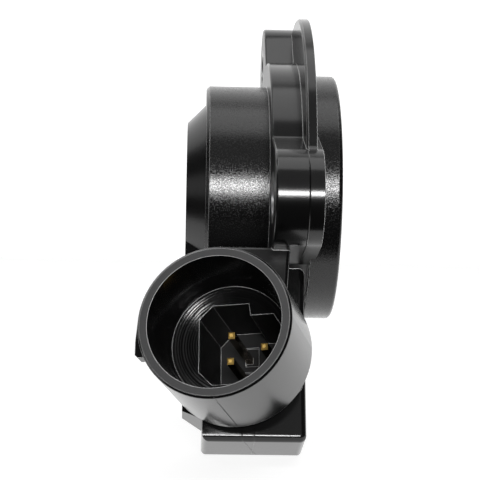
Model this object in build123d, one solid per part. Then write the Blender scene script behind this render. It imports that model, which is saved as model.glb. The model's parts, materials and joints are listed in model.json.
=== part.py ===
from build123d import *
import os
from math import acos, cos, pi, radians, sin

# Frame: X along the rotor axis, X = 0 on the mounting face, the near ear points to -Y, Z is up.
# All sizes are in millimetres.

# Mounting side
pilot_radius = 20.0
pilot_reach = 3.9
pilot_step = 0.7
pilot_edge = 0.6
pad_gap = 1.0
bolt_circle_radius = 25.0
ear_radius = 7.4
ear_root_radius = 13.8
flange_thickness = 7.1
flange_edge = 0.4
hub_radius = 22.0
valley_radius = 0.8
plate_radius = 27.4
plate_rise = 1.8
plate_valley = 2.0
plate_thickness = 1.6
plate_setback = 0.8
plate_edge = 0.3
bolt_hole_radius = 2.75
ear_bush_wall = 1.0

# Drum and rear cover
drum_radius = 18.0
drum_length = 9.8
drum_wall = 4.6
drum_edge = 0.5
front_wall = 2.6
cover_height = 3.0
cover_lip = 1.5
cover_slope = 3.0
cover_skin = 2.2
cover_fit = 0.1
spigot_length = 2.3
rim_width = 1.8
tongue_front = 7.3
tongue_back = 0.3
tongue_bottom = 39.7
tongue_draft = 28.0
seal_width = 1.0
seal_depth = 1.1
seal_inset = 0.5

# Rotor and what it runs in
journal_radius = 5.0
running_gap = 0.04
loose_gap = 0.3
end_gap = 0.05
nose_recess = 0.4
bush_wall = 1.6
bush_flange = 1.8
bush_flange_thickness = 0.8
seal_seat_depth = 2.2
seal_seat_wall = 3.2
washer_thickness = 0.5
rotor_hub_radius = 7.5
rotor_hub_length = 5.55
rotor_disc_inset = 2.2
rotor_disc_thickness = 2.0
shoulder_radius = 4.0
shoulder_length = 1.5
stub_radius = 3.0
rear_bush_wall = 1.56
rear_boss_wall = 1.9
rear_bush_length = 3.2
insert_wall = 1.4
insert_depth = 6.0
slot_depth = 5.0
slot_width = 2.6
slot_height = 5.8
spring_wire = 0.4
spring_turns = 4
spring_grip = 1.1
spring_bend = 0.9
spring_steps = 12
spring_clearance = 1.4
tang_gap = 0.15
cone_wall = 0.35
wiper_thickness = 0.3
finger_width = 1.0
finger_reach = 4.6
finger_root = 1.7
finger_foot = 0.5
finger_radii = (6.9, 9.6)
leaf_radius = 7.8
leaf_height = 5.2
leaf_width = 4.6
leaf_shift = -0.8

# Element
board_thickness = 0.8
film_thickness = 0.2
film_end_angle = 240.0

# Connector
connector_tilt = 24.0
connector_turn = 14.5
mouth_x = -15.67
mouth_y = -26.03
mouth_z = -30.41
shroud_length = 15.7
shroud_radius = 11.3
shroud_draft = 0.2
shroud_bevel = 0.35
socket_radius = 9.66
socket_floor_radius = 8.9
socket_depth = 11.0
pocket_depth = 14.2
pocket_left = -4.75
pocket_right = 7.6
pocket_bottom = -6.1
pocket_top = 6.0
pocket_corner = 2.0
key_left = 2.7
key_depth = 1.8
key_lean = 0.25
key_corner = 1.2
pocket_wall = 1.4
pin_size = 1.0
pin_tip_depth = 12.0
pin_bend = 0.8
leg_inset = 1.0
recess_depth = 0.5
recess_width = 2.1
recess_height = 3.0
recess_shift = 0.45
latch_reach = 12.0
latch_lean = 0.3
latch_top = -1.5
latch_foot = -3.95
latch_ramp = 3.3
latch_root = 10.2
latch_end = 4.7
latch_length = 2.2
latch_edge = 0.4

# Connector block
block_right = -1.3
block_front = 8.5
block_back = 2.0
block_bottom = 43.15
block_edge = 1.0
tower_left = -14.7
tower_right = -4.25
tower_front = 19.5
tower_top = 16.6
tower_lean = 1.1
tower_edge = 0.6

# Stations along X, from the mounting face towards the rear cover
flange_back = -flange_thickness
plate_face = -plate_setback
plate_back = plate_face - plate_thickness
drum_end = flange_back - drum_length
cavity_floor = -front_wall
cavity_radius = drum_radius - drum_wall
bush_face = cavity_floor - bush_flange_thickness
washer_face = bush_face - washer_thickness
rotor_front = washer_face - end_gap
disc_front = rotor_front - rotor_hub_length
disc_back = disc_front - rotor_disc_thickness
shoulder_face = disc_back - shoulder_length
board_back = drum_end + spigot_length
board_face = board_back + board_thickness
film_face = board_face + film_thickness
cover_face = drum_end - cover_height
seal_seat = pilot_reach - seal_seat_depth
nose = pilot_reach - nose_recess
rear_bush_end = board_back - rear_bush_length
stub_end = rear_bush_end + nose_recess
rear_bush_radius = stub_radius + running_gap + rear_bush_wall
front_bush_radius = journal_radius + running_gap + bush_wall
seal_radius = journal_radius + running_gap + seal_seat_wall
disc_radius = cavity_radius - rotor_disc_inset
insert_radius = journal_radius - insert_wall
spring_radius = rotor_hub_radius + spring_clearance + spring_wire
spigot_radius = cavity_radius - cover_fit


def bar(radius, start, end):
    return extrude(Plane.YZ.offset(start) * Circle(radius), end - start)


def turned(*profile):
    return revolve(make_face(Polyline(*profile, close=True)), Axis.X)


def tube(outer, inner, start, end):
    return turned((start, inner), (start, outer), (end, outer), (end, inner))


# Directions of the three ears in the flange plane, whose first axis is Y
ear_angles = {"near": 180.0, "upper": 60.0, "lower": 300.0}


def along(angle, radius):
    return (radius * cos(radians(angle)), radius * sin(radians(angle)))


def sector(first, last):
    reach = 3 * hub_radius
    middle = (ear_angles[first] + ear_angles[last]) / 2
    return Polygon((0, 0), along(ear_angles[first], reach), along(middle, reach),
                   along(ear_angles[last], reach), align=None)


def ear_outline(angle):
    lean = acos((ear_root_radius - ear_radius) / bolt_circle_radius)
    root_x = ear_root_radius * cos(lean)
    root_y = ear_root_radius * sin(lean)
    tip_x = bolt_circle_radius + ear_radius * cos(lean)
    tip_y = ear_radius * sin(lean)
    flanks = Polygon((root_x, -root_y), (tip_x, -tip_y), (tip_x, tip_y), (root_x, root_y), align=None)
    return Rot(Z=angle) * (flanks + Pos(bolt_circle_radius, 0) * Circle(ear_radius))


# Tilted frame of the connector: -Y turns up by the tilt, X stays along the rotor axis
tilt = Rot(X=-connector_tilt)
mouth = Vector(mouth_x, mouth_y, mouth_z)
turn = radians(connector_turn)
side = Vector(cos(turn), -sin(turn), 0)
outward = Vector(-sin(turn), -cos(turn), 0)
socket = tilt * Plane(origin=mouth, x_dir=side, z_dir=outward).location


def tilted_box(x_range, y_range, z_range):
    size = [high - low for low, high in (x_range, y_range, z_range)]
    start = Pos(x_range[0], y_range[0], z_range[0])
    return start * Box(*size, align=(Align.MIN, Align.MIN, Align.MIN))


def coil_point(station, angle):
    return Vector(station, spring_radius * sin(angle), -spring_radius * cos(angle))


# Terminals: a square pin in the pocket, a riser in the block and a leg along X to the board
terminals = {
    "terminal_supply": (-0.15, 1.65, 26.5),
    "terminal_signal": (-0.3, -2.3, 27.9),
    "terminal_ground": (4.78, -0.34, 26.5),
}


def terminal(across, height, bend_depth):
    start = mouth + side * across + Vector(0, 0, height)
    tip = start - outward * pin_tip_depth
    bend = start - outward * bend_depth
    leg_z = leg_inset - cavity_radius
    path = FilletPolyline(tip, bend, (bend.X, bend.Y, leg_z), (board_face, bend.Y, leg_z),
                          radius=pin_bend)
    section = Plane(origin=tip, x_dir=side, z_dir=outward * -1) * Rectangle(pin_size, pin_size)
    pin = sweep(section, path)
    tip_edges = pin.faces().sort_by_distance(tip)[0].edges()
    return tilt * chamfer(tip_edges, pin_size / 4)


# Housing: turned body, flange and pilot
drum = bar(drum_radius, drum_end, -pilot_step)
drum = chamfer(drum.edges().group_by(Axis.X)[0], drum_edge)
pilot = bar(pilot_radius, -pilot_step, pilot_reach)
pilot = fillet(pilot.edges().group_by(Axis.X)[-1], pilot_edge)
ears = Sketch() + [ear_outline(angle) for angle in ear_angles.values()]
hub = Circle(hub_radius) - sector("near", "lower")
web = offset(offset(ears + hub, valley_radius), -valley_radius)
flange = extrude(Plane.YZ.offset(flange_back) * web, plate_back - flange_back)
flange = flange + extrude(Plane.YZ.offset(plate_back) * ears, -plate_back)
flange = fillet(flange.faces().sort_by(Axis.X)[0].outer_wire().edges(), flange_edge)
flange = flange - bar(pilot_radius + pad_gap, -pilot_step, 0)
guard = (Pos(0, plate_rise) * Circle(plate_radius)) & sector("upper", "near")
guard = offset(offset(ears + guard, plate_valley), -plate_valley) & sector("upper", "near")
plate = extrude(Plane.YZ.offset(plate_back) * guard, plate_thickness)
rim_edges = plate.faces().sort_by(Axis.X)[0].edges().filter_by(GeomType.CIRCLE)
plate = chamfer(rim_edges.sort_by(SortBy.LENGTH)[-1], plate_edge)

# Housing: block and tower under the drum, then the round shroud and its latch
block = tilted_box((drum_end, block_right), (-block_front, block_back), (-block_bottom, 0))
block_edges = block.faces().sort_by(Axis.Z)[0].edges()
block_edges = block_edges + block.edges().filter_by(Axis.Z).sort_by_distance((0, -drum_radius, 0))[:1]
block = fillet(block_edges, block_edge)
tower_face = make_face(Polyline((tower_left, -tower_top), (tower_right, -tower_top),
                                (tower_right - tower_lean, mouth_z), (tower_left, mouth_z), close=True))
tower = extrude(Plane.XZ.offset(tower_front) * tower_face, -tower_front)
tower = fillet(tower.edges().filter_by(Plane.XZ).sort_by(Axis.Y)[:4], tower_edge)
rim_radius = shroud_radius - shroud_draft
shroud_half = make_face(Polyline((0, -shroud_length), (shroud_radius, -shroud_length),
                                 (rim_radius, -shroud_bevel), (rim_radius - shroud_bevel, 0), (0, 0),
                                 close=True))
shroud = revolve(Plane.XZ * shroud_half, Axis.Z)
ramp_top = latch_top + latch_ramp
latch_profile = Polygon((-latch_root, ramp_top), (latch_lean - latch_reach, ramp_top),
                        (-latch_reach, latch_top), (-latch_reach, latch_foot + latch_edge),
                        (latch_edge - latch_reach, latch_foot), (-latch_root, latch_foot), align=None)
latch = extrude(Pos(0, 0, -latch_end) * latch_profile, latch_length)
key_top = pocket_top - key_depth
pocket = Polygon((pocket_left, pocket_bottom + pocket_corner), (pocket_left + pocket_corner, pocket_bottom),
                 (pocket_right - pocket_corner, pocket_bottom), (pocket_right, pocket_bottom + pocket_corner),
                 (pocket_right, key_top - pocket_corner), (pocket_right - key_corner, key_top),
                 (key_left + key_lean, key_top), (key_left, pocket_top),
                 (pocket_left + pocket_corner, pocket_top), (pocket_left, pocket_top - pocket_corner),
                 align=None)
floor_depth = socket_depth + pocket_depth
neck = extrude(Pos(0, 0, -floor_depth - pocket_wall) * offset(pocket, pocket_wall), pocket_depth)
relief = tilted_box((2 * drum_end, drum_end), (-tongue_front - loose_gap, drum_radius), (-block_bottom, 0))
relief = relief + tilted_box((block_right, 0), (-drum_radius, drum_radius), (-block_bottom, 0))
housing = drum + pilot + flange + plate + tilt * block + tilt * tower
housing = housing + (socket * neck - tilt * relief) + socket * (shroud + latch)

# Housing: rotor cavity, front bore, seal seat and ear bores
ear_bush_radius = bolt_hole_radius + ear_bush_wall
housing = housing - bar(cavity_radius, drum_end, cavity_floor)
housing = housing - bar(front_bush_radius, cavity_floor, pilot_reach)
housing = housing - bar(seal_radius, seal_seat, pilot_reach)
ear_bushes = {}
for name, angle in ear_angles.items():
    centre = Pos(0, *along(angle, bolt_circle_radius))
    housing = housing - centre * bar(ear_bush_radius, flange_back, 0)
    ear_bushes["ear_bush_" + name] = centre * tube(ear_bush_radius, bolt_hole_radius, flange_back, 0)

# Housing: keyed socket with a recess round each pin, and the channels of the moulded-in terminals
bell = Pos(0, 0, -socket_depth / 2) * Cone(socket_floor_radius, socket_radius, socket_depth)
keyway = extrude(Pos(0, 0, -floor_depth) * pocket, pocket_depth)
housing = housing - socket * (bell + keyway)
pins = {}
for name, (across, height, bend_depth) in terminals.items():
    recess = Pos(across + recess_shift, height + recess_shift, -floor_depth)
    housing = housing - socket * extrude(recess * Rectangle(recess_width, recess_height), -recess_depth)
    pins[name] = terminal(across, height, bend_depth)
    housing = housing - pins[name]

# Return spring round the rotor's hub, with a tang into the housing and one into the rotor
spring_front = washer_face - loose_gap - spring_wire
spring_back = disc_front + loose_gap + spring_wire
spring_span = spring_front - spring_back
tang_lead = spring_bend / spring_radius
wire_points = [coil_point(cavity_floor + spring_grip, -tang_lead), coil_point(cavity_floor, -tang_lead)]
wire_points.append(coil_point(spring_front + spring_bend, -tang_lead))
for step in range(spring_turns * spring_steps + 1):
    share = step / (spring_turns * spring_steps)
    wire_points.append(coil_point(spring_front - share * spring_span, share * spring_turns * 2 * pi))
wire_points.append(coil_point(spring_back - spring_bend, spring_turns * 2 * pi + tang_lead))
wire_points.append(coil_point(disc_front - spring_grip, spring_turns * 2 * pi + tang_lead))
wire_path = Spline(*wire_points)
front_end = wire_points[0]
back_end = wire_points[-1]
return_spring = sweep(Plane(origin=front_end, z_dir=wire_path % 0) * Circle(spring_wire), wire_path)
grip = spring_wire + tang_gap
grip_depth = spring_grip + tang_gap
housing = housing - Pos(0, front_end.Y, front_end.Z) * bar(grip, cavity_floor, cavity_floor + grip_depth)

# Rotor with its drive insert and wiper
rotor = turned((nose - insert_depth, 0), (nose - insert_depth, insert_radius), (nose, insert_radius),
               (nose, journal_radius), (rotor_front, journal_radius), (rotor_front, rotor_hub_radius),
               (disc_front, rotor_hub_radius), (disc_front, disc_radius), (disc_back, disc_radius),
               (disc_back, shoulder_radius), (shoulder_face, shoulder_radius), (shoulder_face, stub_radius),
               (stub_end, stub_radius), (stub_end, 0))
rotor = rotor - Pos(0, back_end.Y, back_end.Z) * bar(grip, disc_front - grip_depth, disc_front)
slot = extrude(Plane.YZ.offset(nose - slot_depth) * Rectangle(slot_width, slot_height), slot_depth)
drive_insert = bar(insert_radius, nose - insert_depth, nose) - slot
leaf_face = disc_back - wiper_thickness
leaf = Plane.YZ.offset(leaf_face) * Pos(leaf_shift, leaf_radius) * Rectangle(leaf_width, leaf_height)
tip_x = film_face + end_gap
finger_side = make_face(Polyline((disc_back, 0), (disc_back, finger_root),
                                 (tip_x + wiper_thickness, finger_reach), (tip_x, finger_reach),
                                 (tip_x, finger_reach - finger_foot),
                                 (leaf_face, finger_root - wiper_thickness), (leaf_face, 0), close=True))
finger = extrude(finger_side, finger_width)
wiper = extrude(leaf, wiper_thickness)
for radius in finger_radii:
    wiper = wiper + Pos(0, 0, radius - finger_width / 2) * finger

# Bearings, washers and seals
front_bush = turned((seal_seat, journal_radius + running_gap), (seal_seat, front_bush_radius),
                    (cavity_floor, front_bush_radius), (cavity_floor, front_bush_radius + bush_flange),
                    (bush_face, front_bush_radius + bush_flange), (bush_face, journal_radius + running_gap))
rear_bush = tube(rear_bush_radius, stub_radius + running_gap, rear_bush_end, board_back)
shaft_seal = tube(seal_radius, journal_radius + running_gap, seal_seat, nose)
thrust_washer = tube(front_bush_radius + bush_flange, journal_radius + loose_gap, washer_face, bush_face)
cone_inner = stub_radius + loose_gap
cone_face = shoulder_face - end_gap
spring_washer = turned((board_back, rear_bush_radius - cone_wall), (board_back, rear_bush_radius - loose_gap),
                       (cone_face, cone_inner + cone_wall), (cone_face, cone_inner))
groove_end = drum_end + seal_inset + seal_width
cover_seal = tube(cavity_radius, spigot_radius - seal_depth, drum_end + seal_inset, groove_end)

# Element board and the printed film on it
board_radius = spigot_radius - cover_fit
element_board = tube(board_radius, rear_bush_radius, board_back, board_face)
film_gap = Polygon((0, 0), along(film_end_angle, drum_radius), along(ear_angles["lower"], drum_radius),
                   align=None)
film = Circle(disc_radius + loose_gap) - Circle(rear_bush_radius + loose_gap) - film_gap
resistive_film = extrude(Plane.YZ.offset(board_face) * film, film_thickness)

# Rear cover: tapered cap with spigot, seal groove and bearing boss, and the tongue on the block
cover_radius = cavity_radius + cover_lip
core_end = cover_face + cover_skin
rear_cover = turned((cover_face, 0), (cover_face, cover_radius - cover_slope), (drum_end, cover_radius),
                    (drum_end, spigot_radius), (drum_end + seal_inset, spigot_radius),
                    (drum_end + seal_inset, spigot_radius - seal_depth),
                    (groove_end, spigot_radius - seal_depth), (groove_end, spigot_radius),
                    (board_back, spigot_radius), (board_back, 0))
tongue_width = tongue_front + tongue_back
tongue_shape = Rectangle(tongue_width, tongue_bottom, align=(Align.MIN, Align.MIN))
tongue_shape = Pos(-tongue_back, -tongue_bottom) * tongue_shape
tongue_plane = Plane(origin=(drum_end, 0, 0), x_dir=(0, -1, 0), z_dir=(-1, 0, 0))
rear_cover = rear_cover + tilt * extrude(tongue_plane * tongue_shape, cover_height, taper=tongue_draft)
core = tube(spigot_radius - rim_width, rear_bush_radius + rear_boss_wall, core_end, board_back)
rear_cover = rear_cover - core
rear_cover = rear_cover - bar(rear_bush_radius, rear_bush_end, board_back)

nodes = {
    "housing": housing,
    "rear_cover": rear_cover,
    "cover_seal": cover_seal,
    "element_board": element_board,
    "resistive_film": resistive_film,
    "rotor": rotor,
    "drive_insert": drive_insert,
    "wiper": wiper,
    "return_spring": return_spring,
    "thrust_washer": thrust_washer,
    "spring_washer": spring_washer,
    "front_bush": front_bush,
    "rear_bush": rear_bush,
    "shaft_seal": shaft_seal,
    **ear_bushes,
    **pins,
}
os.makedirs("parts", exist_ok=True)
for name, shape in nodes.items():
    export_step(shape, "parts/" + name + ".step")
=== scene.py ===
import json
import bpy
from math import acos, cos, pi, radians, sin
from mathutils import Matrix, Vector


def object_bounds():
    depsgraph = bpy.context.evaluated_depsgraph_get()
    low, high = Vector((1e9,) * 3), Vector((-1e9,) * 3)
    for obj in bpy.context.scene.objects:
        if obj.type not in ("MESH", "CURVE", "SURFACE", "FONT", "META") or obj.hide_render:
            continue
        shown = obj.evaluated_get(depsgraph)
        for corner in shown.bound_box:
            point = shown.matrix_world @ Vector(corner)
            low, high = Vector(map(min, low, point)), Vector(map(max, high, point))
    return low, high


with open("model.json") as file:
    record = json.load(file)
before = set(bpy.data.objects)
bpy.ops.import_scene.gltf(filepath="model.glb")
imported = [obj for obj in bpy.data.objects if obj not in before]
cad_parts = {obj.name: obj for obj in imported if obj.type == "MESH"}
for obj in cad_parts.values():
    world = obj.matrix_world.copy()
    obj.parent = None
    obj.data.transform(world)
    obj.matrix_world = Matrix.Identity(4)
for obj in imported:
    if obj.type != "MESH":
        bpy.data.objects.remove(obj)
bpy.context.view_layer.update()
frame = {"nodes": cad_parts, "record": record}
nodes = frame["nodes"]

MM = 0.001

# Zones of the one-piece housing, in metres from the rotor axis and the mounting face
DRUM_RADIUS = 18.0 * MM
PILOT_RADIUS = 20.0 * MM
FLANGE_BACK = -7.1 * MM
PILOT_STEP = -0.7 * MM

# Room between a zone's limit and the face beside it
WALL_MARGIN = 0.1 * MM
STEP_MARGIN = 0.05 * MM
RIM_MARGIN = 0.08 * MM

# A flat face is found by its distance from a plane and the cosine of its angle to the plane's normal
PLANE_REACH = 0.05 * MM
FACING_LIMIT = 0.98

# Lower flank of the near ear: a plane that touches the root circle and the ear's rounded end
EAR_ROOT_RADIUS = 13.8 * MM
EAR_RADIUS = 7.4 * MM
BOLT_CIRCLE_RADIUS = 25.0 * MM
FLANK_LEAN = acos((EAR_ROOT_RADIUS - EAR_RADIUS) / BOLT_CIRCLE_RADIUS)
FLANK_NORMAL = Vector((0.0, -cos(FLANK_LEAN), -sin(FLANK_LEAN)))

# Connector shroud: turned about Z, then tilted up about X, with its mouth given before the tilt
SHROUD_TURN = radians(14.5)
SHROUD_TILT = Matrix.Rotation(radians(-24.0), 3, "X")
MOUTH = SHROUD_TILT @ Vector((-15.67, -26.03, -30.41)) * MM
MOUTH_SIDE = SHROUD_TILT @ Vector((cos(SHROUD_TURN), -sin(SHROUD_TURN), 0.0))
MOUTH_OUT = SHROUD_TILT @ Vector((-sin(SHROUD_TURN), -cos(SHROUD_TURN), 0.0))
MOUTH_UP = SHROUD_TILT @ Vector((0.0, 0.0, 1.0))
RIM_INNER_RADIUS = 9.3 * MM
RIM_OUTER_RADIUS = 11.6 * MM
BARREL_INNER_RADIUS = 10.9 * MM
SHROUD_LENGTH = 15.9 * MM
SOCKET_DEPTH = 11.0 * MM
POCKET_END = 26.0 * MM
PLATED_END = 12.35 * MM

# Connector block and the tower beside the shroud
BLOCK_SIDE = -1.4 * MM
TOWER_NORMAL = SHROUD_TILT @ Vector((0.0, -1.0, 0.0))
TOWER_FRONT = 19.5 * MM

# Turning marks on the socket's floor and the deep end of its bore
TURNED_START = 0.6 * SOCKET_DEPTH
TURNING_STEP = 0.2 * MM
TURNING_SLOPE = 0.37
TURNING_JITTER = 0.25 * MM
FEED_SCALE = 3000.0

# Fine lines where the mould halves meet
LINE_HALF_WIDTH = 0.11 * MM
LINE_DEPTH = 0.08 * MM
EAR_LINE_X = -2.2 * MM
EAR_LINE_LOW = -0.5 * DRUM_RADIUS
BLOCK_LINE_X = -9.1 * MM
BLOCK_LINE_TOP = -34.0 * MM
BARREL_LINE_SIDE = 0.2 * MM
BARREL_LINE_TOP = -RIM_INNER_RADIUS - 1.2 * MM

# Edges: rounded normals, and a pale highlight painted along them
EDGE_RADIUS = 0.18 * MM
EDGE_SAMPLES = 8
EDGE_SHARPNESS = 4.0

# Grain: noise scales per metre, and depths of the relief
NOISE_DETAIL = 2.0
HOUSING_GRAIN_SCALE = 6500.0
HOUSING_GRAIN_DEPTH = 0.02 * MM
SMOOTH_WALL_GRAIN = 0.06
FAINT_GRAIN_SCALE = 3000.0
FAINT_GRAIN_DEPTH = 0.03 * MM
ROLLED_GRAIN_SCALE = 2500.0
ROLLED_GRAIN_DEPTH = 0.02 * MM
ROLLED_GRAIN_STRENGTH = 0.1
SPARKLE_SCALE = 4800.0
SPARKLE_DETAIL = 0.0
SPARKLE_RANGE = (0.35, 0.65)
GLOSS_CHANGE_SCALE = 160.0

# Roughness of the housing's zones; a pair is the least and the most
SMOOTH_ROUGHNESS = (0.14, 0.2)
TEXTURED_ROUGHNESS = (0.1, 0.29)
BARREL_ROUGHNESS = 0.2
POCKET_ROUGHNESS = 0.5
DULL_FACE_ROUGHNESS = 0.3
RIM_ROUGHNESS = 0.5

# Colours that a mask chooses between, and the roughness of the pins
HOUSING_BLACK = (0.004, 0.004, 0.0041, 1.0)
CUT_RIM_GREY = (0.05, 0.05, 0.051, 1.0)
# Painted highlight: the near-white grey laid along every edge
EDGE_HIGHLIGHT_GREY = (0.9, 0.9, 0.9, 1.0)
# Bare shank bronze, darkened as painted shade of the pocket
SHADED_BARE_PIN_BRONZE = (0.2, 0.15, 0.09, 1.0)
PIN_GOLD = (1.0, 0.7, 0.22, 1.0)
BARE_PIN_ROUGHNESS = 0.15
PIN_GOLD_ROUGHNESS = 0.6


def add_node(tree, kind, label, **settings):
    """A labelled node with its settings."""
    node = tree.nodes.new(kind)
    node.label = label
    for name, value in settings.items():
        setattr(node, name, value)
    return node


def feed(tree, socket, value):
    """Link another node's output to a socket, or set the socket to a plain number or colour."""
    if isinstance(value, bpy.types.NodeSocket):
        tree.links.new(value, socket)
    else:
        socket.default_value = value


def math_node(tree, operation, label, first, second=None):
    """Output of one sum on outputs or plain numbers."""
    node = add_node(tree, "ShaderNodeMath", label, operation=operation)
    feed(tree, node.inputs[0], first)
    if second is not None:
        feed(tree, node.inputs[1], second)
    return node.outputs[0]


def noise(tree, label, place, scale, detail):
    """Output of a noise pattern on the piece's own coordinates."""
    node = add_node(tree, "ShaderNodeTexNoise", label)
    tree.links.new(place, node.inputs["Vector"])
    feed(tree, node.inputs["Scale"], scale)
    node.inputs["Detail"].default_value = detail
    return node.outputs[0]


def fade(tree, label, value, start, end):
    """Nothing at the start value and one at the end value."""
    node = add_node(tree, "ShaderNodeMapRange", label)
    node.inputs["From Min"].default_value = start
    node.inputs["From Max"].default_value = end
    tree.links.new(value, node.inputs["Value"])
    return node.outputs[0]


def mix_value(tree, factor, low, high, label):
    """A value that goes from low to high with a mask; either may be another node's output."""
    node = add_node(tree, "ShaderNodeMix", label, data_type="FLOAT")
    for socket, value in zip((node.inputs[0], node.inputs[2], node.inputs[3]), (factor, low, high)):
        feed(tree, socket, value)
    return node.outputs[0]


def mix_colour(tree, factor, low, high, label):
    """A colour that goes from low to high with a mask; either may be another node's output."""
    node = add_node(tree, "ShaderNodeMix", label, data_type="RGBA")
    for socket, value in zip((node.inputs[0], node.inputs[6], node.inputs[7]), (factor, low, high)):
        feed(tree, socket, value)
    return node.outputs[2]


def relief(tree, label, height, depth, strength=1.0, normal=None):
    """Normal of a surface that carries this height, laid over another normal where one is given."""
    bump = add_node(tree, "ShaderNodeBump", label)
    bump.inputs["Strength"].default_value = strength
    bump.inputs["Distance"].default_value = depth
    tree.links.new(height, bump.inputs["Height"])
    if normal is not None:
        tree.links.new(normal, bump.inputs["Normal"])
    return bump.outputs[0]


def new_group(name, inputs, outputs):
    """An empty shader node group with named sockets, and its input and output nodes."""
    group = bpy.data.node_groups.new(name, "ShaderNodeTree")
    for label, kind, value in inputs:
        socket = group.interface.new_socket(name=label, in_out="INPUT", socket_type=kind)
        if value is not None:
            socket.default_value = value
    for label, kind in outputs:
        group.interface.new_socket(name=label, in_out="OUTPUT", socket_type=kind)
    start = add_node(group, "NodeGroupInput", name + " inputs")
    end = add_node(group, "NodeGroupOutput", name + " outputs")
    return group, start, end


def dot_with(group, vector, direction, label):
    """Length of a vector along a fixed direction."""
    product = add_node(group, "ShaderNodeVectorMath", label, operation="DOT_PRODUCT")
    group.links.new(vector, product.inputs[0])
    product.inputs[1].default_value = direction
    return product.outputs["Value"]


def along(group, place, direction, label):
    """Distance from the middle of the shroud's mouth along one direction."""
    reach = dot_with(group, place, direction, label)
    return math_node(group, "SUBTRACT", label, reach, MOUTH.dot(direction))


def distance_from_axis(group, first, second, label):
    """Distance from an axis, worked out from the two coordinates across it."""
    first_square = math_node(group, "POWER", label, first, 2.0)
    second_square = math_node(group, "POWER", label, second, 2.0)
    spread = math_node(group, "ADD", label, first_square, second_square)
    return math_node(group, "SQRT", label, spread)


def flat_face(group, place, facing, normal, distance, label):
    """One on the flat face with this normal, at this distance from the origin."""
    offset = math_node(group, "SUBTRACT", label, dot_with(group, place, normal, label), distance)
    on_plane = math_node(group, "LESS_THAN", label, math_node(group, "ABSOLUTE", label, offset), PLANE_REACH)
    agreement = dot_with(group, facing, normal, label)
    faces_out = math_node(group, "GREATER_THAN", label, agreement, FACING_LIMIT)
    return math_node(group, "MULTIPLY", label, on_plane, faces_out)


def near_line(group, value, place, label):
    """One on a line at the given place, falling to nothing at half the line's width."""
    offset = math_node(group, "SUBTRACT", label, value, place)
    distance = math_node(group, "ABSOLUTE", label, offset)
    share = math_node(group, "DIVIDE", label, distance, LINE_HALF_WIDTH)
    return math_node(group, "MAXIMUM", label, math_node(group, "SUBTRACT", label, 1.0, share), 0.0)


def moulded_grain_group():
    """Height of a fine eroded mould texture, where the mask lets it show."""
    group, start, end = new_group(
        "moulded grain",
        [("Vector", "NodeSocketVector", None), ("Scale", "NodeSocketFloat", FAINT_GRAIN_SCALE),
         ("Mask", "NodeSocketFloat", 1.0)],
        [("Height", "NodeSocketFloat")],
    )
    specks = noise(group, "grain specks", start.outputs["Vector"], start.outputs["Scale"], NOISE_DETAIL)
    height = math_node(group, "MULTIPLY", "grain where the mould is textured", specks, start.outputs["Mask"])
    group.links.new(height, end.inputs["Height"])
    return group


def textured_zone_group():
    """Masks of the drum's and the pilot's textured walls, and of the duller flat faces."""
    group, start, end = new_group(
        "textured walls",
        [("Vector", "NodeSocketVector", None)],
        [("Mask", "NodeSocketFloat"), ("Dull", "NodeSocketFloat")],
    )
    place = start.outputs["Vector"]
    parts = add_node(group, "ShaderNodeSeparateXYZ", "place on the housing")
    group.links.new(place, parts.inputs[0])
    along_axis = parts.outputs["X"]
    radius = distance_from_axis(group, parts.outputs["Y"], parts.outputs["Z"], "from the rotor axis")
    behind_flange = math_node(group, "LESS_THAN", "behind the flange", along_axis, FLANGE_BACK - WALL_MARGIN)
    inside_drum = math_node(group, "LESS_THAN", "not past the drum", radius, DRUM_RADIUS + WALL_MARGIN)
    on_drum = math_node(group, "MULTIPLY", "drum wall", behind_flange, inside_drum)
    before_ears = math_node(group, "GREATER_THAN", "ahead of the step", along_axis, PILOT_STEP + STEP_MARGIN)
    inside_pilot = math_node(group, "LESS_THAN", "not past the pilot", radius, PILOT_RADIUS + WALL_MARGIN)
    on_pilot = math_node(group, "MULTIPLY", "pilot wall", before_ears, inside_pilot)
    group.links.new(math_node(group, "MAXIMUM", "textured", on_drum, on_pilot), end.inputs["Mask"])

    facing = add_node(group, "ShaderNodeNewGeometry", "surface").outputs["Normal"]
    back = flat_face(group, place, facing, (-1.0, 0.0, 0.0), -FLANGE_BACK, "flange back")
    flank = flat_face(group, place, facing, FLANK_NORMAL, EAR_ROOT_RADIUS, "ear flank")
    tower = flat_face(group, place, facing, TOWER_NORMAL, TOWER_FRONT, "tower front")
    dull = math_node(group, "MAXIMUM", "back and flank", back, flank)
    group.links.new(math_node(group, "MAXIMUM", "dull faces", dull, tower), end.inputs["Dull"])
    return group


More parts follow.
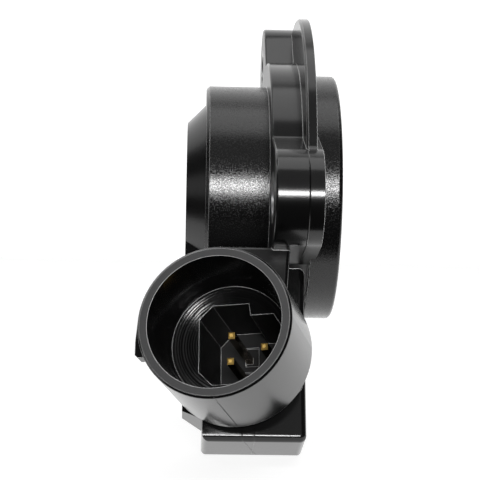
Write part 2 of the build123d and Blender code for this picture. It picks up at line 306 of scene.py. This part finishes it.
def shroud_zone_group():
    """Masks of the rim, pocket, barrel and the pins' plated tips, and height of the turning marks."""
    group, start, end = new_group(
        "shroud zones",
        [("Vector", "NodeSocketVector", None)],
        [("Rim", "NodeSocketFloat"), ("Pocket", "NodeSocketFloat"), ("Turned", "NodeSocketFloat"),
         ("Tip", "NodeSocketFloat"), ("Barrel", "NodeSocketFloat")],
    )
    place = start.outputs["Vector"]
    side = along(group, place, MOUTH_SIDE, "across the mouth")
    height = along(group, place, MOUTH_UP, "up the mouth")
    out = along(group, place, MOUTH_OUT, "out of the mouth")
    radius = distance_from_axis(group, side, height, "from the shroud's axis")
    in_bore = math_node(group, "LESS_THAN", "within the bore", radius, RIM_INNER_RADIUS)
    in_shroud = math_node(group, "LESS_THAN", "within the shroud", radius, RIM_OUTER_RADIUS)

    at_face = math_node(group, "GREATER_THAN", "at the mouth", out, -RIM_MARGIN)
    past_bore = math_node(group, "GREATER_THAN", "outside the bore", radius, RIM_INNER_RADIUS)
    on_ring = math_node(group, "MULTIPLY", "ring", past_bore, in_shroud)
    group.links.new(math_node(group, "MULTIPLY", "cut rim", at_face, on_ring), end.inputs["Rim"])

    behind_floor = math_node(group, "LESS_THAN", "behind the floor", out, -SOCKET_DEPTH - WALL_MARGIN)
    before_end = math_node(group, "GREATER_THAN", "before the end", out, -POCKET_END)
    in_depth = math_node(group, "MULTIPLY", "pocket depth", behind_floor, before_end)
    across = dot_with(group, place, (1.0, 0.0, 0.0), "across the block")
    in_block = math_node(group, "LESS_THAN", "inside the block", across, BLOCK_SIDE)
    in_walls = math_node(group, "MULTIPLY", "inside the walls", in_bore, in_block)
    group.links.new(math_node(group, "MULTIPLY", "keyed pocket", in_depth, in_walls), end.inputs["Pocket"])

    near_mouth = math_node(group, "GREATER_THAN", "near the mouth", out, -PLATED_END)
    group.links.new(math_node(group, "MULTIPLY", "plated tip", near_mouth, in_bore), end.inputs["Tip"])

    past_wall = math_node(group, "GREATER_THAN", "outside the wall", radius, BARREL_INNER_RADIUS)
    wall_ring = math_node(group, "MULTIPLY", "outer wall", past_wall, in_shroud)
    before_back = math_node(group, "GREATER_THAN", "before the back", out, -SHROUD_LENGTH)
    behind_rim = math_node(group, "SUBTRACT", "behind the rim", before_back, at_face)
    group.links.new(math_node(group, "MULTIPLY", "barrel", wall_ring, behind_rim), end.inputs["Barrel"])

    low_in_bore = math_node(group, "LESS_THAN", "deep in the bore", out, -TURNED_START)
    not_pocket = math_node(group, "SUBTRACT", "ahead of the pocket", 1.0, behind_floor)
    turned_depth = math_node(group, "MULTIPLY", "turned depth", low_in_bore, not_pocket)
    turned = math_node(group, "MULTIPLY", "turned floor", turned_depth, in_bore)
    wander = add_node(group, "ShaderNodeTexNoise", "uneven feed", noise_dimensions="1D")
    wander.inputs["Scale"].default_value = FEED_SCALE
    group.links.new(radius, wander.inputs["W"])
    jitter = math_node(group, "MULTIPLY", "uneven feed", wander.outputs[0], TURNING_JITTER)
    uneven = math_node(group, "ADD", "uneven radius", radius, jitter)
    rings = math_node(group, "PINGPONG", "turning marks", uneven, TURNING_STEP)
    group.links.new(math_node(group, "MULTIPLY", "marks", rings, turned), end.inputs["Turned"])
    return group


def mould_line_group():
    """Height of the fine lines on the near ear, the connector block and the shroud's barrel."""
    group, start, end = new_group(
        "mould lines",
        [("Vector", "NodeSocketVector", None)],
        [("Height", "NodeSocketFloat")],
    )
    place = start.outputs["Vector"]
    parts = add_node(group, "ShaderNodeSeparateXYZ", "place on the housing")
    group.links.new(place, parts.inputs[0])
    across = parts.outputs["X"]
    on_ear = near_line(group, across, EAR_LINE_X, "ear line")
    ear_reach = math_node(group, "LESS_THAN", "on the near ear", parts.outputs["Y"], -DRUM_RADIUS)
    ear_level = math_node(group, "GREATER_THAN", "above the block", parts.outputs["Z"], EAR_LINE_LOW)
    ear_part = math_node(group, "MULTIPLY", "near ear", ear_reach, ear_level)
    ear = math_node(group, "MULTIPLY", "ear", on_ear, ear_part)

    on_block = near_line(group, across, BLOCK_LINE_X, "block line")
    block_reach = math_node(group, "LESS_THAN", "below the shroud", parts.outputs["Z"], BLOCK_LINE_TOP)
    block = math_node(group, "MULTIPLY", "block", on_block, block_reach)

    side = along(group, place, MOUTH_SIDE, "across the barrel")
    level = along(group, place, MOUTH_UP, "up the barrel")
    on_barrel = near_line(group, side, BARREL_LINE_SIDE, "barrel line")
    barrel_reach = math_node(group, "LESS_THAN", "under the barrel", level, BARREL_LINE_TOP)
    barrel = math_node(group, "MULTIPLY", "barrel", on_barrel, barrel_reach)

    lines = math_node(group, "MAXIMUM", "ear and block", ear, block)
    group.links.new(math_node(group, "MAXIMUM", "all lines", lines, barrel), end.inputs["Height"])
    return group


def edge_highlight_group():
    """Normal rounded at the edges, and a mask that is one on an edge and nothing away from it, along which a
    pale highlight is painted.
    """
    group, start, end = new_group(
        "edges with painted highlight",
        [("Radius", "NodeSocketFloat", EDGE_RADIUS)],
        [("Mask", "NodeSocketFloat"), ("Normal", "NodeSocketVector")],
    )
    rounded = add_node(group, "ShaderNodeBevel", "rounded normal", samples=EDGE_SAMPLES)
    group.links.new(start.outputs["Radius"], rounded.inputs["Radius"])
    surface = add_node(group, "ShaderNodeNewGeometry", "true normal")
    agree = add_node(group, "ShaderNodeVectorMath", "agreement", operation="DOT_PRODUCT")
    group.links.new(rounded.outputs[0], agree.inputs[0])
    group.links.new(surface.outputs["Normal"], agree.inputs[1])
    bend = math_node(group, "SUBTRACT", "bend", 1.0, agree.outputs["Value"])
    sharper = math_node(group, "MULTIPLY", "sharper", bend, EDGE_SHARPNESS)
    group.links.new(math_node(group, "MINIMUM", "edge", sharper, 1.0), end.inputs["Mask"])
    group.links.new(rounded.outputs[0], end.inputs["Normal"])
    return group


moulded_grain = moulded_grain_group()
textured_zone = textured_zone_group()
shroud_zone = shroud_zone_group()
mould_line = mould_line_group()
edge_highlight = edge_highlight_group()


def principled(name):
    """A new material with its node tree, its shader and the piece's own coordinates."""
    material = bpy.data.materials.new(name)
    material.use_nodes = True
    tree = material.node_tree
    shader = tree.nodes["Principled BSDF"]
    place = add_node(tree, "ShaderNodeTexCoord", "object place")
    return material, tree, shader, place.outputs["Object"]


def place_group(tree, group, label):
    """One use of a shared effect in a material."""
    node = add_node(tree, "ShaderNodeGroup", label)
    node.node_tree = group
    return node


def housing_roughness(tree, place, zone, shroud):
    """Smooth walls, sparkling textured walls, satin barrel, dull faces, and matt pocket and rim."""
    change = noise(tree, "slow change of gloss", place, GLOSS_CHANGE_SCALE, NOISE_DETAIL)
    smooth = mix_value(tree, change, *SMOOTH_ROUGHNESS, "gloss of the smooth walls")
    sparkle = noise(tree, "sparkle of the mould texture", place, SPARKLE_SCALE, SPARKLE_DETAIL)
    facets = fade(tree, "bright and dull facets", sparkle, *SPARKLE_RANGE)
    textured = mix_value(tree, facets, *TEXTURED_ROUGHNESS, "gloss of the facets")
    rough = mix_value(tree, zone.outputs["Mask"], smooth, textured, "gloss of the textured walls")
    rough = mix_value(tree, shroud.outputs["Barrel"], rough, BARREL_ROUGHNESS, "satin barrel")
    rough = mix_value(tree, shroud.outputs["Pocket"], rough, POCKET_ROUGHNESS, "pocket walls")
    rough = mix_value(tree, zone.outputs["Dull"], rough, DULL_FACE_ROUGHNESS, "dull flat faces")
    return mix_value(tree, shroud.outputs["Rim"], rough, RIM_ROUGHNESS, "cut rim is matt")


def housing_black():
    """The moulded housing: black, with a paler rim, a pale highlight painted along the edges, and grain,
    turning marks and mould lines.
    """
    material, tree, shader, place = principled("satin black housing")
    zone = place_group(tree, textured_zone, "drum and pilot walls")
    shroud = place_group(tree, shroud_zone, "shroud rim and pocket")
    lines = place_group(tree, mould_line, "mould lines")
    grain = place_group(tree, moulded_grain, "fine mould texture")
    edges = place_group(tree, edge_highlight, "edges with painted highlight")
    for node in (zone, shroud, lines, grain):
        tree.links.new(place, node.inputs["Vector"])
    grain.inputs["Scale"].default_value = HOUSING_GRAIN_SCALE
    rough_zone = math_node(tree, "MAXIMUM", "walls and rim", zone.outputs["Mask"], shroud.outputs["Rim"])
    grainy = mix_value(tree, rough_zone, SMOOTH_WALL_GRAIN, 1.0, "grain on walls and rim")
    tree.links.new(grainy, grain.inputs["Mask"])

    tone = mix_colour(tree, shroud.outputs["Rim"], HOUSING_BLACK, CUT_RIM_GREY, "rim shows paler")
    # Painted highlight: near-white grey along every edge stands in for the light that the edges catch
    painted_edges = mix_colour(tree, edges.outputs["Mask"], tone, EDGE_HIGHLIGHT_GREY, "painted edge highlight")
    tree.links.new(painted_edges, shader.inputs["Base Color"])
    tree.links.new(housing_roughness(tree, place, zone, shroud), shader.inputs["Roughness"])

    normal = edges.outputs["Normal"]
    for label, height, depth in (
        ("turning marks relief", shroud.outputs["Turned"], TURNING_SLOPE),
        ("grain relief", grain.outputs["Height"], HOUSING_GRAIN_DEPTH),
        ("mould line relief", lines.outputs["Height"], LINE_DEPTH),
    ):
        normal = relief(tree, label, height, depth, normal=normal)
    tree.links.new(normal, shader.inputs["Normal"])
    return material


def plain_moulding(name, colour, roughness, grain_strength):
    """One even colour with a faint mould texture."""
    material, tree, shader, place = principled(name)
    shader.inputs["Base Color"].default_value = colour
    shader.inputs["Roughness"].default_value = roughness
    grain = place_group(tree, moulded_grain, "faint mould texture")
    tree.links.new(place, grain.inputs["Vector"])
    normal = relief(tree, "faint relief", grain.outputs["Height"], FAINT_GRAIN_DEPTH, grain_strength)
    tree.links.new(normal, shader.inputs["Normal"])
    return material


def metal(name, colour, roughness):
    """Bare metal with a faint rolled grain."""
    material, tree, shader, place = principled(name)
    shader.inputs["Metallic"].default_value = 1.0
    shader.inputs["Base Color"].default_value = colour
    shader.inputs["Roughness"].default_value = roughness
    grain = place_group(tree, moulded_grain, "rolled grain")
    grain.inputs["Scale"].default_value = ROLLED_GRAIN_SCALE
    tree.links.new(place, grain.inputs["Vector"])
    height = grain.outputs["Height"]
    normal = relief(tree, "rolled relief", height, ROLLED_GRAIN_DEPTH, ROLLED_GRAIN_STRENGTH)
    tree.links.new(normal, shader.inputs["Normal"])
    return material


def plated_contact():
    """Bare bronze contact, its colour darkened as painted shade of the pocket, with gold only on the pins'
    tips.
    """
    material = metal("gold plated contact", PIN_GOLD, BARE_PIN_ROUGHNESS)
    tree = material.node_tree
    shader = tree.nodes["Principled BSDF"]
    place = add_node(tree, "ShaderNodeTexCoord", "place on the pin")
    shroud = place_group(tree, shroud_zone, "plated tips")
    tree.links.new(place.outputs["Object"], shroud.inputs["Vector"])
    tip = shroud.outputs["Tip"]
    # The shank's bare bronze is painted dark as shade of the pocket; the gold on the tips is real plating
    plating = mix_colour(tree, tip, SHADED_BARE_PIN_BRONZE, PIN_GOLD, "gold at the tips")
    tree.links.new(plating, shader.inputs["Base Color"])
    rough = mix_value(tree, tip, BARE_PIN_ROUGHNESS, PIN_GOLD_ROUGHNESS, "plating is satin")
    tree.links.new(rough, shader.inputs["Roughness"])
    return material


finishes = {
    "housing_plastic": housing_black(),
    "cover_plastic": plain_moulding(
        "satin black cover", HOUSING_BLACK, roughness=0.22, grain_strength=0.2),
    "rotor_plastic": plain_moulding(
        "grey rotor moulding", (0.1, 0.1, 0.1, 1.0), roughness=0.45, grain_strength=0.2),
    "seal_rubber": plain_moulding(
        "black seal rubber", (0.02, 0.02, 0.02, 1.0), roughness=0.6, grain_strength=0.2),
    "board": plain_moulding(
        "green resin board", (0.06, 0.16, 0.09, 1.0), roughness=0.5, grain_strength=0.1),
    "film": plain_moulding(
        "printed carbon film", (0.02, 0.02, 0.02, 1.0), roughness=0.55, grain_strength=0.1),
    "steel": metal("bright steel", (0.62, 0.62, 0.61, 1.0), roughness=0.3),
    "bronze": metal("sintered bronze", (0.55, 0.36, 0.18, 1.0), roughness=0.45),
    "bush_steel": metal("dull plated steel", (0.5, 0.5, 0.5, 1.0), roughness=0.42),
    "gold_contact": plated_contact(),
}

for part in frame["record"]["subparts"]:
    piece = nodes[part["node"]]
    piece.data.materials.clear()
    piece.data.materials.append(finishes[part["material_slot"]])

# Sheets under and behind the object, in metres; the glow lifts them to white for the lens
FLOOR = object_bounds()[0][2]
FLOOR_LEFT = -0.14
FLOOR_FRONT = -0.038
FLOOR_GLOW = 0.86
BACK = 0.55
BACK_LEFT = -1.4
BACK_TOP = 1.2
BACK_GLOW = 1.0
SHEET_RIGHT = 1.2
SHEET_COLOUR = (0.35, 0.35, 0.35, 1.0)


def studio_white(name, glow):
    """Matt white that keeps the shadow and reads as white to the lens and in reflections."""
    material = bpy.data.materials.new(name)
    material.use_nodes = True
    tree = material.node_tree
    tree.nodes.clear()
    out = add_node(tree, "ShaderNodeOutputMaterial", "surface")
    matt = add_node(tree, "ShaderNodeBsdfDiffuse", "matt white")
    matt.inputs["Color"].default_value = SHEET_COLOUR
    lift = add_node(tree, "ShaderNodeEmission", "white lift")
    path = add_node(tree, "ShaderNodeLightPath", "kind of ray")
    gloss, glass = path.outputs["Is Glossy Ray"], path.outputs["Is Transmission Ray"]
    mirrored = math_node(tree, "MAXIMUM", "gloss or glass", gloss, glass)
    to_lens = math_node(tree, "MULTIPLY", "lift to the lens", path.outputs["Is Camera Ray"], glow)
    strength = math_node(tree, "MAXIMUM", "lift strength", to_lens, mirrored)
    tree.links.new(strength, lift.inputs["Strength"])
    both = add_node(tree, "ShaderNodeAddShader", "matt and lift")
    tree.links.new(matt.outputs[0], both.inputs[0])
    tree.links.new(lift.outputs[0], both.inputs[1])
    tree.links.new(both.outputs[0], out.inputs["Surface"])
    return material


def white_sheet(name, low, high, glow):
    """One flat white sheet between two corners, level if they share a height and upright otherwise."""
    bpy.ops.object.select_all(action="DESELECT")
    bpy.ops.mesh.primitive_plane_add(size=1.0, location=(0.0, 0.0, 0.0))
    sheet = bpy.context.object
    sheet.name = name
    size = Vector(high) - Vector(low)
    bpy.ops.object.mode_set(mode="EDIT")
    bpy.ops.mesh.select_all(action="SELECT")
    if size.z > 0.0:
        bpy.ops.transform.rotate(value=radians(90.0), orient_axis="X", center_override=(0.0, 0.0, 0.0))
    bpy.ops.transform.resize(value=[length if length > 0.0 else 1.0 for length in size])
    bpy.ops.transform.translate(value=(Vector(low) + Vector(high)) / 2)
    bpy.ops.object.mode_set(mode="OBJECT")
    sheet.data.materials.append(studio_white(name, glow))


white_sheet("floor_sheet", (FLOOR_LEFT, FLOOR_FRONT, FLOOR), (SHEET_RIGHT, BACK, FLOOR), FLOOR_GLOW)
white_sheet("back_sheet", (BACK_LEFT, BACK, FLOOR), (SHEET_RIGHT, BACK, BACK_TOP), BACK_GLOW)


def area_lamp(name, place, target, width, height, radiance):
    """A lit rectangle that faces its target; its power follows from its radiance and its area."""
    bpy.ops.object.light_add(type="AREA", location=place)
    lamp = bpy.context.object
    lamp.name = name
    lamp.data.shape = "RECTANGLE"
    lamp.data.size = width
    lamp.data.size_y = height
    lamp.data.energy = radiance * pi * width * height
    aim = Vector(target) - Vector(place)
    lamp.rotation_euler = aim.to_track_quat("-Z", "Y").to_euler()


# A small hard strip gives the long highlights, and three large panels fill in round it
MIDDLE = (-0.008, -0.015, 0.0)
area_lamp("front_strip", place=(0.02, -0.9, 0.165), target=MIDDLE,
          width=0.28, height=0.135, radiance=44.0)
area_lamp("front_fill", place=(0.0, -0.65, 0.63), target=MIDDLE,
          width=1.0, height=0.64, radiance=0.3)
area_lamp("left_panel", place=(-0.9, 0.0, 0.1), target=(0.0, 0.0, 0.0),
          width=0.5, height=0.22, radiance=0.5)
area_lamp("overhead_panel", place=(0.0, -0.077, 0.8), target=(0.0, -0.077, 0.0),
          width=1.6, height=0.555, radiance=1.85)

# World: dim as light, white to the lens, and white in reflections of the middle of the back
ROOM_WHITE = (1.0, 1.0, 1.0, 1.0)
ROOM_LIGHT = 0.025
BACKDROP_FADE = (0.25, 0.4)
SIDE_FADE = (0.5, 0.3)


def set_world():
    """A white room that lights the object only a little."""
    world = bpy.data.worlds.new("white room")
    bpy.context.scene.world = world
    world.use_nodes = True
    tree = world.node_tree
    sky = tree.nodes["Background"]
    sky.inputs["Color"].default_value = ROOM_WHITE
    path = add_node(tree, "ShaderNodeLightPath", "kind of ray")
    gloss, glass = path.outputs["Is Glossy Ray"], path.outputs["Is Transmission Ray"]
    mirrored = math_node(tree, "MAXIMUM", "gloss or glass", gloss, glass)
    direction = add_node(tree, "ShaderNodeTexCoord", "direction")
    parts = add_node(tree, "ShaderNodeSeparateXYZ", "direction parts")
    tree.links.new(direction.outputs["Generated"], parts.inputs[0])
    behind = fade(tree, "behind the object", parts.outputs["Y"], *BACKDROP_FADE)
    to_side = math_node(tree, "ABSOLUTE", "to the side", parts.outputs["X"])
    aside = fade(tree, "not far to the side", to_side, *SIDE_FADE)
    middle = math_node(tree, "MULTIPLY", "middle of the back", behind, aside)
    backdrop = math_node(tree, "MULTIPLY", "mirrored backdrop", mirrored, middle)
    white = math_node(tree, "MAXIMUM", "lens or mirror", path.outputs["Is Camera Ray"], backdrop)
    strength = mix_value(tree, white, ROOM_LIGHT, 1.0, "white to the lens, dim as light")
    tree.links.new(strength, sky.inputs["Strength"])


set_world()

# Camera from a fit of known circles and edges of the part to the photograph
IMAGE_WIDTH = 480
FOCAL_PIXELS = 1326.5
SENSOR_WIDTH = 36.0
NEAREST_SEEN = 10.0 * MM
CAMERA_PLACE = Vector((-18.80, -219.97, 0.93)) * MM
YAW, PITCH, ROLL = radians(2.059), radians(-2.136), radians(-1.107)


def add_camera():
    """The photograph's camera, turned by its yaw, pitch and roll."""
    bpy.ops.object.camera_add(location=CAMERA_PLACE)
    camera = bpy.context.object
    camera.name = "photo_camera"
    forward = Vector((sin(YAW) * cos(PITCH), cos(YAW) * cos(PITCH), sin(PITCH)))
    level_right = Vector((cos(YAW), -sin(YAW), 0.0))
    level_up = level_right.cross(forward)
    right = cos(ROLL) * level_right - sin(ROLL) * level_up
    up = sin(ROLL) * level_right + cos(ROLL) * level_up
    turn = Matrix((right, up, -forward)).transposed()
    camera.matrix_world = Matrix.Translation(CAMERA_PLACE) @ turn.to_4x4()
    camera.data.sensor_fit = "HORIZONTAL"
    camera.data.sensor_width = SENSOR_WIDTH
    camera.data.lens = FOCAL_PIXELS / IMAGE_WIDTH * SENSOR_WIDTH
    camera.data.clip_start = NEAREST_SEEN
    bpy.context.scene.camera = camera


add_camera()
bpy.context.scene.view_settings.view_transform = "Standard"
